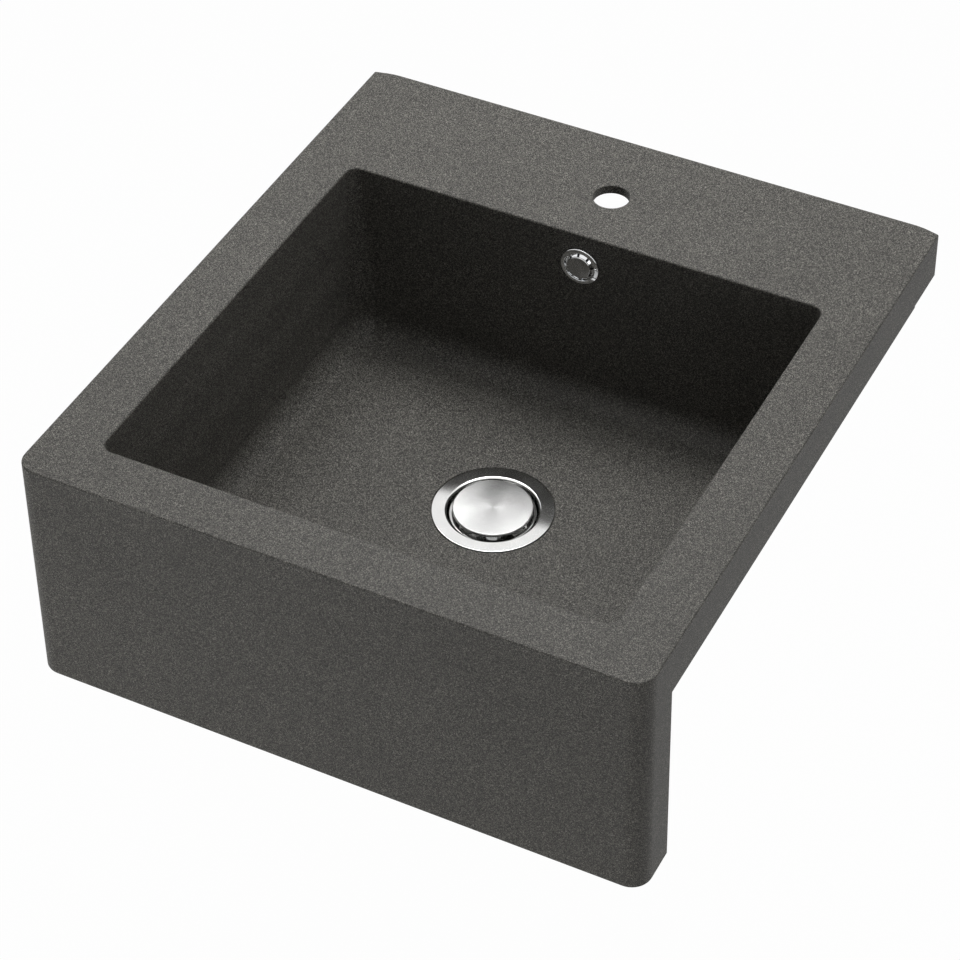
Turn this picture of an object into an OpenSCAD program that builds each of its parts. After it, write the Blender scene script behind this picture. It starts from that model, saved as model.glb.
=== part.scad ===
// Apron-front kitchen sink with a lift-out strainer basket and an overflow.
// Millimetres. The origin is the centre of the tap hole on the deck's top face,
// +X is to the right seen from the front, +Y to the wall behind, +Z up.

/* [Sink] */
// Width across the apron's lower edge, where the sink is widest
sink_w = 600; // [560:1:640]
// How far each side leans in between the apron's lower edge and the deck
side_lean = 3; // [1:0.5:6]
// Front face to rear edge
sink_l = 656; // [640:1:680]
// Deck top to the apron's lower edge
apron_h = 246; // [236:1:270]
// Deck top to the lower edge of the side skirts
skirt_h = 49.5; // [46:0.5:60]
// Deck top to the lower edge of the rear skirt and of the last stretch of the sides
rear_skirt_h = 47.5; // [44:0.5:58]
// Length of that last stretch of the sides
rear_step_l = 57; // [30:0.5:70]
// How far the apron's side returns reach back from the front face
return_l = 50.5; // [40:0.5:70]
// Thickness of the casting
wall = 9; // [8:0.5:11]
// Radius of the two front corners, seen from above
front_r = 19; // [14:0.5:26]
// Radius of the two rear corners, seen from above
rear_r = 2; // [2:0.5:8]
// Length of the rear edge's curved stretch at each corner
rear_arc_l = 25; // [10:1:40]
// How far the rear edge curves forward over that stretch
rear_arc_drop = 4.5; // [0:0.5:6]
// Rounding of the outer top edge
edge_r = 1.5; // [1:0.25:2]
// Tap hole centre to the rear edge
tap_to_rear = 87; // [75:1:95]
// Diameter of the tap hole
tap_hole_d = 35; // [32:0.5:37]

/* [Bowl] */
// Inside width at the rim
bowl_w = 486; // [440:1:500]
// Inside length at the rim, front to back
bowl_l = 450; // [420:1:465]
// Deck top to the bowl's floor
bowl_d = 193; // [185:1:200]
// Rear edge of the sink to the bowl
bowl_to_rear = 153; // [148:1:165]
// Corner radius at the rim, seen from above
bowl_r = 11; // [8:1:26]
// Radius between the walls and the floor
floor_r = 26; // [16:1:40]
// How far the walls lean in towards the floor
bowl_lean = 1.5; // [0.5:0.5:6]
// Rounding of the rim
rim_r = 2; // [1:0.5:5]

/* [Drain] */
// Drain centre to the rear edge of the sink
drain_to_rear = 338; // [320:1:380]
// Hole through the bowl's floor
drain_hole_d = 91; // [90:0.5:94]
// Outside diameter of the strainer cup's flange
flange_d = 115; // [110:1:120]
// Depth of the seat that is sunk into the floor for the flange
seat_d = 1.5; // [1:0.1:2.5]
// Thickness of the cup's stainless sheet
sheet_t = 1; // [0.8:0.1:1.5]
// Inside diameter of the cup at its mouth
cup_bore_d = 86; // [84:0.5:87]
// Inside diameter of the cup above its floor
cup_low_d = 80; // [78:0.5:82]
// Flange top to the cup's floor
cup_d = 40.5; // [38:0.5:46]
// Number of drain holes in the cup's floor
grid_holes = 12; // [8:1:16]
// Diameter of each drain hole
grid_hole_d = 7; // [5:0.5:8]

/* [Basket] */
// How far the basket is pushed down from open to closed
basket_travel = 5.5; // [4:0.5:8]
// Outside diameter of the basket's rim
basket_rim_d = 81.6; // [78:0.2:82]
// Inside diameter of the basket's floor
basket_floor_d = 66; // [60:1:70]
// Rim to floor, inside
basket_d = 25; // [22:0.5:28]
// Thickness of the basket's sheet
basket_t = 0.8; // [0.6:0.1:1]
// Number of slots in the basket's side
basket_slots = 24; // [12:1:30]
// Width of each slot
basket_slot_w = 2.4; // [1.5:0.1:3]
// Diameter of the rubber seal under the basket
seal_dia = 62; // [58:1:66]
// Diameter of the stem's pin, which slides in the fixing screw
pin_d = 8; // [6:0.5:9]

/* [Drain cover] */
// Diameter of the round cover
cover_d = 75.5; // [70:0.5:78]
// Top of the cover above the flange while the basket is open
cover_rise = 2.8; // [1.5:0.1:5]
// Height of the cover's turned-down edge
cover_edge_h = 3.2; // [2:0.1:5]
// Thickness of the cover's sheet
cover_t = 1.2; // [0.8:0.1:2]

/* [Waste body] */
// Inside diameter of the waste body's chamber
chamber_d = 94; // [92:0.5:98]
// Wall thickness of the waste body
body_wall = 2.5; // [2:0.1:3.5]
// Outside diameter of the waste body's flange
body_flange_d = 112; // [108:1:118]
// Height of the straight part of the chamber
chamber_h = 42; // [40:1:48]
// Outside diameter of the outlet's thread
outlet_d = 47.8; // [46:0.1:49]
// Inside diameter of the outlet
outlet_bore_d = 40; // [36:0.5:41]
// Length of the outlet below the cone
outlet_l = 23; // [20:1:30]
// Diameter of the fixing screw
screw_d = 12; // [11:0.5:14]

/* [Overflow] */
// Deck top to the overflow's axis
overflow_drop = 35; // [33:0.5:45]
// Hole through the bowl's rear wall
overflow_hole_d = 30; // [28:0.5:32]
// Outside diameter of the chromed ring
ring_d = 39.2; // [38:0.2:42]
// Outside diameter of the gasket behind the ring
rim_gasket_d = 38.4; // [36:0.2:42]
// Diameter of the round cover over the screw
button_d = 24; // [20:0.2:25]
// Number of slots in the ring's cone, behind the round cover
ring_slots = 8; // [6:1:10]
// Width of each slot
ring_slot_w = 2.4; // [1.5:0.1:4]

/* [Overflow hose] */
// Outside diameter over the ribs
hose_d = 20; // [18:0.5:22]
// Outside diameter of the plain cuffs at the two ends
cuff_d = 18; // [16:0.5:19]
// Inside diameter of the hose
hose_bore_d = 14; // [12:0.5:15]
// Distance from one rib to the next
rib_pitch = 4; // [3:0.5:6]
// Outside diameter of the hose nuts
nut_d = 33; // [31:0.5:34]
// Diameter of the thread under the hose nuts
spigot_d = 28; // [26:0.5:29]

/* [Hidden] */
$fn = 96;

// Colours
quartz_grey = [0.24, 0.235, 0.22];
steel_grey = [0.78, 0.78, 0.77];
chrome_grey = [0.86, 0.87, 0.88];
rubber_black = [0.09, 0.09, 0.09];
plastic_white = [0.88, 0.88, 0.86];
plastic_black = [0.14, 0.14, 0.15];
brass_yellow = [0.78, 0.62, 0.32];

// Shared clearances and overruns
cut = 4;
bury = 0.5;
rest_gap = 0.2;
slide_gap = 0.05;
thread_gap = 0.1;
hull_fn = 32;

// Casting
top_half_w = sink_w / 2 - side_lean;
front_y = tap_to_rear - sink_l;
return_y = front_y + return_l;
step_y = tap_to_rear - rear_step_l;
foot_band = 1;
rear_arc_steps = 6;
inner_rear_r = 6;
flare_steps = 3;

// Bowl
bowl_rear_y = tap_to_rear - bowl_to_rear;
bowl_mid_y = bowl_rear_y - bowl_l / 2;
floor_z = -bowl_d;
under_z = floor_z - wall;
wall_rear_y = bowl_rear_y + wall;

// Drain stack, from the floor down
drain_y = tap_to_rear - drain_to_rear;
seat_gap = 1;
flange_gasket_t = 1;
flange_top_z = floor_z - seat_d + flange_gasket_t + sheet_t;
lip_r = 2;
cup_corner_r = 4;
cup_floor_z = flange_top_z - cup_d;
dimple_r = 12;
dimple_slope = 1.5;
dimple_d = 7;
dimple_z = cup_floor_z - dimple_d;
grid_margin = 4.5;
grid_r = dimple_r + grid_margin + grid_hole_d / 2;
body_gasket_t = 2.5;
body_gasket_inset = 2;
body_top_z = under_z - body_gasket_t;
body_flange_t = 4;
cone_h = 15.5;
chamber_low_z = body_top_z - chamber_h;
outlet_top_z = chamber_low_z - cone_h;
outlet_end_z = outlet_top_z - outlet_l;
body_hub_r = 11.5;
body_hub_h = 15;
body_hub_rise = 8;
body_hub_top_z = outlet_top_z + body_hub_rise;
spoke_t = 2.5;
spoke_h = 9;
spokes = 4;
insert_wall = 2.5;
screw_washer_t = 1;
screw_head_r = 9;
screw_head_h = 4;
screw_seat_z = dimple_z + screw_washer_t;
screw_short = 1;
screw_end_z = body_hub_top_z - body_hub_h + screw_short;
screw_socket_l = 18;
screw_tip = 1;

// Basket stack, open, from the rim down
basket_rim_drop = 4;
basket_rim_z = flange_top_z - basket_rim_drop;
basket_rim_w = 3.2;
basket_floor_z = basket_rim_z - basket_d;
basket_side_low_r = basket_floor_d / 2;
basket_side_top_r = basket_rim_d / 2 - basket_rim_w;
slot_margin = 5;
seal_top_z = basket_floor_z - basket_t;
seal_t = 3;
seal_low_z = cup_floor_z + basket_travel + rest_gap;
seal_lip_w = 4;
seal_disc_z = seal_top_z - seal_t;
stem_hole_gap = 0.2;
seal_washer_t = 1.5;
seal_washer_r = 10;
clip_t = 1;
clip_r = 6.5;
clip_groove = 0.6;
clip_z = seal_disc_z - seal_washer_t - clip_t;
foot_r = 9;
foot_h = 2.7;
shaft_r = 5;
collar_r = 8;
collar_h = 2.3;
knob_r = 5;
knob_h = 5.7;
pin_reach = 10;
pin_tip = 1;
stem_ring_t = 1.4;
stem_ring_drop = 2;

// Drain cover, seated on the stem
cover_top_z = flange_top_z + cover_rise;
cover_under_z = cover_top_z - cover_t;
cover_round = 0.8;
hub_r = 9;
hub_h = 9;
hub_low_z = cover_under_z - hub_h;
arm_l = 33;
arm_w = 5;
arm_t = 2.5;
arms = 3;
collar_top_z = hub_low_z - rest_gap;

// Overflow, heights are taken from its seat on the bowl's leaning rear wall
overflow_z = -overflow_drop;
rim_gasket_t = 0.8;
wall_lean_share = bowl_lean / (bowl_d - floor_r);
seat_u = wall_lean_share * (overflow_drop + rim_gasket_d / 2);
ring_h = 3.2;
ring_w = 3.3;
ring_sheet = 1;
channel_r = 14.2;
channel_h = 0.8;
cone_foot_r = 13.4;
cone_top_r = 10.6;
cone_top_h = 2.8;
ring_hub_r = 7;
hub_sink = 1.5;
button_h = 4.8;
button_t = 1.8;
button_boss_r = 5.4;
oscrew_r = 2.5;
oscrew_head_r = 4;
oscrew_head_h = 2.6;
rear_gasket_t = 2;
elbow_deck_gap = 1.5;
elbow_flange_r = overflow_drop - wall - elbow_deck_gap;
elbow_flange_t = 3;
elbow_wall = 2.5;
elbow_r = 18;
elbow_l = 25;
elbow_boss_r = 6;
elbow_boss_l = 13;
elbow_insert_r = 4.2;
elbow_insert_l = 10;
overflow_seat_y = bowl_rear_y - seat_u;
elbow_front_y = wall_rear_y + rear_gasket_t;
elbow_rear_y = elbow_front_y + elbow_flange_t + elbow_l;

// Hose joints
nut_wall_gap = 1.5;
hose_y = wall_rear_y + nut_wall_gap + nut_d / 2;
socket_l = 12;
socket_gap = 0.3;
hose_passage_r = 7.5;
thread_l = 12;
neck_l = 22;
nut_lap = 8;
nut_shoulder = 2.5;
nut_grips = 16;
nut_grip_r = 1.3;
cone_t = 4;
cone_lip = 1.4;
spigot_end_z = overflow_z - elbow_r - neck_l;
branch_drop = 28;
branch_z = under_z - branch_drop;
branch_r = 12;
branch_reach = 19;
branch_end_y = drain_y + chamber_d / 2 + branch_reach;

// Route of the hose's centre line, behind the bowl and under its floor
hose_route = [[0, -39, -63], [0, -39, -84], [0, -39, -106], [0, -39, -128], [0, -39, -150],
              [0, -42, -171], [0, -50, -190], [0, -62, -207], [0, -79, -219], [0, -98, -227],
              [0, -119, -230], [0, -138, -230], [0, -158, -230], [0, -178, -230], [0, -197, -230]];
hose_sides = 8;
hose_valley_d = 16.6;
route_steps = 6;

// Points on an arc about a centre
function arc(centre, r, from, to, steps = 4) =
    [for (k = [0:steps]) centre + r * [cos(from + (to - from) * k / steps), sin(from + (to - from) * k / steps)]];

// Outer form of the casting
module edge_puck(r) {
    rotate_extrude($fn = hull_fn) {
        intersection() {
            translate([r - edge_r, 0]) circle(edge_r, $fn = hull_fn);
            square([r, edge_r]);
        }
        square([r - edge_r, edge_r]);
    }
}

module corner_post(side, y, r, inset = 0) {
    translate([side * (sink_w / 2 - r - inset), y, -apron_h]) cylinder(h = foot_band, r = r, $fn = hull_fn);
    translate([side * (top_half_w - r - inset), y, -edge_r]) edge_puck(r);
}

module outer_block() {
    hull() {
        for (side = [-1, 1]) {
            corner_post(side, front_y + front_r, front_r);
            for (k = [0:rear_arc_steps])
                corner_post(side, tap_to_rear - rear_r - rear_arc_drop * pow(k / rear_arc_steps, 2), rear_r,
                            rear_arc_l * (1 - k / rear_arc_steps));
        }
    }
}

// What is cut away behind the apron and under the skirts
module behind_apron() {
    full_w = sink_w + 2 * cut;
    translate([-full_w / 2, return_y, -apron_h - cut])
        cube([full_w, sink_l, apron_h + cut - skirt_h]);
    translate([-full_w / 2, step_y, -apron_h - cut])
        cube([full_w, sink_l, apron_h + cut - rear_skirt_h]);
}

// Outline of the space inside the skirts
module hollow_outline() {
    half_w = top_half_w - wall;
    low_y = front_y + wall;
    high_y = tap_to_rear - wall;
    inner_r = front_r - wall;
    for (side = [-1, 1]) {
        translate([side * (half_w - inner_r), low_y + inner_r]) circle(inner_r);
        translate([side * (half_w - inner_rear_r), high_y - inner_rear_r]) circle(inner_rear_r);
    }
    translate([-half_w, low_y + inner_r]) square([2 * half_w, high_y - low_y - inner_r - inner_rear_r]);
    translate([-half_w + inner_r, low_y]) square([2 * (half_w - inner_r), inner_r]);
    translate([-half_w + inner_rear_r, high_y - inner_rear_r])
        square([2 * (half_w - inner_rear_r), inner_rear_r]);
}

// Bowl form, grown by a distance on every side, up to a height
module bowl_form(grow, top_z) {
    ball_r = floor_r + grow;
    post_r = bowl_r + grow;
    hull() {
        for (side = [-1, 1], end = [-1, 1]) {
            translate([side * (bowl_w / 2 - bowl_lean - floor_r),
                       bowl_mid_y + end * (bowl_l / 2 - bowl_lean - floor_r), floor_z + floor_r])
                sphere(ball_r, $fn = hull_fn);
            translate([side * (bowl_w / 2 - bowl_r), bowl_mid_y + end * (bowl_l / 2 - bowl_r), top_z - wall])
                cylinder(h = wall, r = post_r, $fn = hull_fn);
        }
    }
}

// One step of the rim's rounding
module rim_step(low_angle, high_angle) {
    low_grow = rim_r * (1 - cos(low_angle));
    high_grow = rim_r * (1 - cos(high_angle));
    low_z = -rim_r + rim_r * sin(low_angle);
    high_z = -rim_r + rim_r * sin(high_angle);
    sliver = rim_r / hull_fn;
    hull() {
        for (side = [-1, 1], end = [-1, 1]) {
            translate([side * (bowl_w / 2 - bowl_r), bowl_mid_y + end * (bowl_l / 2 - bowl_r), 0]) {
                translate([0, 0, low_z - sliver]) cylinder(h = sliver, r = bowl_r + low_grow, $fn = hull_fn);
                translate([0, 0, high_z]) cylinder(h = sliver, r = bowl_r + high_grow, $fn = hull_fn);
            }
        }
    }
}

module sink_casting() color(quartz_grey) {
    difference() {
        union() {
            difference() {
                outer_block();
                behind_apron();
                translate([0, 0, -apron_h - cut]) linear_extrude(apron_h + cut - wall) hollow_outline();
            }
            bowl_form(wall, -wall / 2);
        }
        bowl_form(0, cut);
        for (k = [0:flare_steps - 1])
            rim_step(90 * k / flare_steps, 90 * (k + 1) / flare_steps);
        translate([0, 0, -wall - cut]) cylinder(h = wall + 2 * cut, d = tap_hole_d);
        translate([0, drain_y, under_z - cut]) cylinder(h = wall + 2 * cut, d = drain_hole_d);
        translate([0, drain_y, floor_z - seat_d]) cylinder(h = cut, d = flange_d + 2 * seat_gap);
        translate([0, wall_rear_y + cut, overflow_z])
            rotate([90, 0, 0]) cylinder(h = wall + 2 * cut, d = overflow_hole_d);
    }
}

// Strainer cup
function cup_path(t) = concat(
    [[flange_d / 2, flange_top_z - t]],
    arc([cup_bore_d / 2 + lip_r, flange_top_z - lip_r], lip_r - t, 90, 180),
    arc([cup_low_d / 2 - cup_corner_r, cup_floor_z + cup_corner_r], cup_corner_r + t, 0, -90),
    [[dimple_r + t, cup_floor_z - t],
     [dimple_r - dimple_slope + t, dimple_z - t],
     [screw_d / 2 + thread_gap, dimple_z - t]]);

function reversed(list) = [for (k = [len(list) - 1:-1:0]) list[k]];

module strainer_cup() color(steel_grey) translate([0, drain_y, 0]) {
    difference() {
        rotate_extrude() polygon(concat(cup_path(0), reversed(cup_path(sheet_t))));
        for (k = [0:grid_holes - 1])
            rotate([0, 0, 360 * k / grid_holes])
                translate([grid_r, 0, cup_floor_z - sheet_t - cut])
                    cylinder(h = sheet_t + 2 * cut, d = grid_hole_d);
    }
}

module flat_ring(low_z, t, inner_r, outer_r) {
    translate([0, 0, low_z]) difference() {
        cylinder(h = t, r = outer_r);
        translate([0, 0, -cut]) cylinder(h = t + 2 * cut, r = inner_r);
    }
}

module flange_gasket() color(rubber_black) translate([0, drain_y, 0])
    flat_ring(floor_z - seat_d, flange_gasket_t, drain_hole_d / 2, flange_d / 2);

module body_gasket() color(rubber_black) translate([0, drain_y, 0])
    flat_ring(body_top_z, body_gasket_t, chamber_d / 2, body_flange_d / 2 - body_gasket_inset);

// Waste body under the floor, with its outlet and the branch for the overflow
module waste_body() color(plastic_white) translate([0, drain_y, 0]) {
    bore_r = chamber_d / 2;
    skin_r = bore_r + body_wall;
    outlet_r = outlet_d / 2;
    union() {
        difference() {
            union() {
                rotate_extrude() polygon([
                    [0, body_top_z],
                    [body_flange_d / 2, body_top_z],
                    [body_flange_d / 2, body_top_z - body_flange_t],
                    [skin_r, body_top_z - body_flange_t],
                    [skin_r, chamber_low_z],
                    [outlet_r, outlet_top_z],
                    [outlet_r, outlet_end_z],
                    [0, outlet_end_z]]);
                branch_solid();
            }
            rotate_extrude() polygon([
                [0, body_top_z + cut],
                [bore_r, body_top_z + cut],
                [bore_r, chamber_low_z],
                [outlet_bore_d / 2, outlet_top_z],
                [outlet_bore_d / 2, outlet_end_z - cut],
                [0, outlet_end_z - cut]]);
            branch_bore();
        }
        difference() {
            translate([0, 0, body_hub_top_z - body_hub_h]) {
                cylinder(h = body_hub_h, r = body_hub_r);
                for (k = [0:spokes - 1])
                    rotate([0, 0, 45 + 360 * k / spokes])
                        translate([0, -spoke_t / 2, 0])
                            cube([outlet_bore_d / 2 + body_wall / 2, spoke_t, spoke_h]);
            }
            translate([0, 0, body_hub_top_z - body_hub_h - cut])
                cylinder(h = body_hub_h + 2 * cut, r = screw_d / 2 + insert_wall + thread_gap);
        }
    }
}

module along_y(y, z) translate([0, y, z]) rotate([-90, 0, 0]) children();

module branch_solid() {
    end_l = branch_end_y - drain_y;
    start_l = chamber_d / 2 - branch_r / 2;
    along_y(start_l, branch_z) cylinder(h = end_l - start_l, r = branch_r);
    along_y(end_l - thread_l, branch_z) cylinder(h = thread_l, d = spigot_d);
}

module branch_bore() {
    end_l = branch_end_y - drain_y;
    along_y(chamber_d / 4, branch_z) cylinder(h = end_l - chamber_d / 4, r = hose_passage_r);
    along_y(end_l - socket_l, branch_z) cylinder(h = socket_l + cut, d = cuff_d + 2 * socket_gap);
}

module insert_nut() color(brass_yellow) translate([0, drain_y, 0])
    flat_ring(body_hub_top_z - body_hub_h, body_hub_h, screw_d / 2 + thread_gap, screw_d / 2 + insert_wall);

module fixing_screw() color(steel_grey) translate([0, drain_y, 0]) {
    head_top_z = screw_seat_z + screw_head_h;
    difference() {
        rotate_extrude() polygon([
            [0, head_top_z],
            [screw_head_r - screw_tip, head_top_z],
            [screw_head_r, head_top_z - screw_tip],
            [screw_head_r, screw_seat_z],
            [screw_d / 2, screw_seat_z],
            [screw_d / 2, screw_end_z + screw_tip],
            [screw_d / 2 - screw_tip, screw_end_z],
            [0, screw_end_z]]);
        translate([0, 0, head_top_z - screw_socket_l])
            cylinder(h = screw_socket_l + cut, r = pin_d / 2 + slide_gap);
    }
}

module screw_washer() color(rubber_black) translate([0, drain_y, 0])
    flat_ring(dimple_z, screw_washer_t, screw_d / 2 + thread_gap, screw_head_r);

// Lift-out basket
function basket_path(t) = [
    [basket_rim_d / 2, basket_rim_z - t],
    [basket_side_top_r + t, basket_rim_z - t],
    [basket_side_low_r + t, basket_floor_z - t],
    [pin_d / 2 + stem_hole_gap, basket_floor_z - t]];

module strainer_basket() color(steel_grey) translate([0, drain_y, 0]) {
    slot_h = basket_d - 2 * slot_margin;
    difference() {
        rotate_extrude() polygon(concat(basket_path(0), reversed(basket_path(basket_t))));
        for (k = [0:basket_slots - 1])
            rotate([0, 0, 360 * k / basket_slots])
                translate([basket_side_low_r - cut, -basket_slot_w / 2, basket_floor_z + slot_margin])
                    cube([basket_rim_d / 2 - basket_side_low_r + 2 * cut, basket_slot_w, slot_h]);
    }
}

// Stem: knob for the cover, collar, shaft, foot on the basket's floor, and the sliding pin
module basket_stem() color(chrome_grey) translate([0, drain_y, 0]) {
    pin_r = pin_d / 2;
    pin_end_z = screw_seat_z + screw_head_h - pin_reach;
    ring_z = screw_seat_z + screw_head_h - stem_ring_drop;
    rotate_extrude() polygon([
        [0, collar_top_z + knob_h],
        [knob_r - pin_tip, collar_top_z + knob_h],
        [knob_r, collar_top_z + knob_h - pin_tip],
        [knob_r, collar_top_z],
        [collar_r, collar_top_z],
        [collar_r, collar_top_z - collar_h],
        [shaft_r, collar_top_z - collar_h],
        [shaft_r, basket_floor_z + foot_h],
        [foot_r, basket_floor_z + foot_h],
        [foot_r, basket_floor_z],
        [pin_r, basket_floor_z],
        [pin_r, clip_z + clip_t],
        [pin_r - clip_groove, clip_z + clip_t],
        [pin_r - clip_groove, clip_z],
        [pin_r, clip_z],
        [pin_r, ring_z],
        [pin_r - stem_ring_t, ring_z],
        [pin_r - stem_ring_t, ring_z - stem_ring_t],
        [pin_r, ring_z - stem_ring_t],
        [pin_r, pin_end_z + pin_tip],
        [pin_r - pin_tip, pin_end_z],
        [0, pin_end_z]]);
}

module basket_seal() color(rubber_black) translate([0, drain_y, 0]) {
    seal_r = seal_dia / 2;
    rotate_extrude() polygon([
        [pin_d / 2 + stem_hole_gap, seal_top_z],
        [seal_r - seal_t / 3, seal_top_z],
        [seal_r, seal_top_z - seal_t / 3],
        [seal_r, seal_low_z],
        [seal_r - seal_lip_w, seal_low_z],
        [seal_r - seal_lip_w, seal_disc_z],
        [pin_d / 2 + stem_hole_gap, seal_disc_z]]);
}

module seal_washer() color(steel_grey) translate([0, drain_y, 0])
    flat_ring(seal_disc_z - seal_washer_t, seal_washer_t, pin_d / 2 + stem_hole_gap, seal_washer_r);

// Open retaining clip in the stem's groove
module stem_clip() color(steel_grey) translate([0, drain_y, clip_z]) {
    inner_r = pin_d / 2 - clip_groove;
    mouth_w = pin_d / 2;
    difference() {
        cylinder(h = clip_t, r = clip_r);
        translate([0, 0, -cut]) cylinder(h = clip_t + 2 * cut, r = inner_r + thread_gap);
        translate([0, -mouth_w / 2, -cut]) cube([clip_r + cut, mouth_w, clip_t + 2 * cut]);
    }
}

module stem_ring() color(rubber_black) translate([0, drain_y, 0]) {
    ring_z = screw_seat_z + screw_head_h - stem_ring_drop - stem_ring_t / 2;
    section_r = stem_ring_t / 2 - slide_gap;
    translate([0, 0, ring_z]) rotate_extrude() translate([pin_d / 2 - stem_ring_t / 2, 0]) circle(section_r);
}

// Round cover over the basket and the hub that plugs it onto the stem
module drain_cover() color(steel_grey) translate([0, drain_y, 0]) {
    cover_r = cover_d / 2;
    low_z = cover_top_z - cover_edge_h;
    rotate_extrude() polygon(concat(
        [[0, cover_top_z]],
        arc([cover_r - cover_round, cover_top_z - cover_round], cover_round, 90, 0, 3),
        [[cover_r, low_z],
         [cover_r - cover_t, low_z],
         [cover_r - cover_t, cover_under_z],
         [0, cover_under_z]]));
}

module cover_hub() color(plastic_black) translate([0, drain_y, 0]) {
    difference() {
        union() {
            translate([0, 0, hub_low_z]) cylinder(h = hub_h, r = hub_r);
            for (k = [0:arms - 1])
                rotate([0, 0, 90 + 360 * k / arms])
                    translate([0, -arm_w / 2, cover_under_z - arm_t]) cube([arm_l, arm_w, arm_t]);
        }
        translate([0, 0, hub_low_z - cut])
            cylinder(h = knob_h + cut, r = knob_r + slide_gap);
    }
}

// Overflow parts turn about an axis that points into the bowl
module on_rear_wall() translate([0, overflow_seat_y, overflow_z]) rotate([90, 0, 0]) children();

module rim_gasket() color(rubber_black) on_rear_wall()
    flat_ring(0, rim_gasket_t, overflow_hole_d / 2, rim_gasket_d / 2);

// Ring with a channel, a slotted cone inside it, and a hub that the round cover's boss fits
module overflow_ring() color(chrome_grey) on_rear_wall() {
    ring_r = ring_d / 2;
    hole_r = overflow_hole_d / 2 - thread_gap;
    half_t = ring_sheet / 2;
    slot_low_r = ring_hub_r + 2 * ring_sheet;
    difference() {
        rotate_extrude() polygon([
            [ring_r, rim_gasket_t],
            [ring_r, ring_h - half_t],
            [ring_r - half_t, ring_h],
            [ring_r - ring_w, ring_h],
            [channel_r, channel_h],
            [cone_foot_r, channel_h],
            [cone_top_r, cone_top_h],
            [ring_hub_r + half_t, cone_top_h],
            [ring_hub_r, ring_sheet - hub_sink],
            [oscrew_r + thread_gap, ring_sheet - hub_sink],
            [oscrew_r + thread_gap, -hub_sink],
            [ring_hub_r + ring_sheet, -hub_sink],
            [ring_hub_r + ring_sheet + half_t, cone_top_h - ring_sheet],
            [cone_top_r - half_t, cone_top_h - ring_sheet],
            [cone_foot_r - half_t, channel_h - ring_sheet],
            [hole_r, channel_h - ring_sheet],
            [hole_r, rim_gasket_t]]);
        for (k = [0:ring_slots - 1])
            rotate([0, 0, 360 * (k + 1 / 2) / ring_slots])
                translate([slot_low_r, -ring_slot_w / 2, -hub_sink - cut])
                    cube([cone_foot_r - slot_low_r, ring_slot_w, cone_top_h + hub_sink + 2 * cut]);
    }
}

module overflow_button() color(chrome_grey) on_rear_wall() {
    button_r = button_d / 2;
    boss_low = ring_sheet - hub_sink;
    difference() {
        union() {
            rotate_extrude() polygon([
                [0, button_h],
                [button_r - button_t / 4, button_h],
                [button_r, button_h - button_t / 4],
                [button_r, button_h - button_t],
                [0, button_h - button_t]]);
            translate([0, 0, boss_low]) cylinder(h = button_h - boss_low - button_t / 2, r = button_boss_r);
        }
        translate([0, 0, boss_low - cut])
            cylinder(h = oscrew_head_h + rest_gap + cut, r = oscrew_head_r + thread_gap);
    }
}

module overflow_screw() color(steel_grey) on_rear_wall() {
    head_low = ring_sheet - hub_sink;
    tip = overflow_seat_y - (elbow_rear_y - elbow_boss_l + elbow_insert_l);
    translate([0, 0, tip]) cylinder(h = head_low - tip, r = oscrew_r);
    translate([0, 0, head_low]) cylinder(h = oscrew_head_h, r = oscrew_head_r);
}

module rear_gasket() color(rubber_black) along_y(wall_rear_y, overflow_z)
    flat_ring(0, rear_gasket_t, overflow_hole_d / 2, elbow_flange_r);

// Chamber behind the rear wall, which turns the overflow down into the hose
module overflow_elbow() color(plastic_white) {
    inner_r = elbow_r - elbow_wall;
    chamber_y = elbow_front_y + elbow_flange_t;
    difference() {
        union() {
            along_y(elbow_front_y, overflow_z) cylinder(h = elbow_flange_t, r = elbow_flange_r);
            along_y(chamber_y - bury, overflow_z) cylinder(h = elbow_l + bury, r = elbow_r);
            translate([0, hose_y, spigot_end_z]) {
                cylinder(h = overflow_z - spigot_end_z, r = hose_passage_r + elbow_wall);
                cylinder(h = thread_l, d = spigot_d);
            }
        }
        along_y(elbow_front_y - cut, overflow_z)
            cylinder(h = elbow_flange_t + elbow_l - elbow_wall + cut, r = inner_r);
        translate([0, hose_y, spigot_end_z - cut]) {
            cylinder(h = overflow_z - spigot_end_z, r = hose_passage_r);
            cylinder(h = socket_l + cut, d = cuff_d + 2 * socket_gap);
        }
    }
    difference() {
        along_y(elbow_rear_y - elbow_boss_l, overflow_z)
            cylinder(h = elbow_boss_l - elbow_wall + bury, r = elbow_boss_r);
        along_y(elbow_rear_y - elbow_boss_l - cut, overflow_z)
            cylinder(h = elbow_insert_l + cut, r = elbow_insert_r + thread_gap);
    }
}

module elbow_insert() color(brass_yellow)
    along_y(elbow_rear_y - elbow_boss_l, overflow_z) difference() {
        cylinder(h = elbow_insert_l, r = elbow_insert_r);
        translate([0, 0, -cut]) cylinder(h = elbow_insert_l + 2 * cut, r = oscrew_r + thread_gap);
    }

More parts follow.
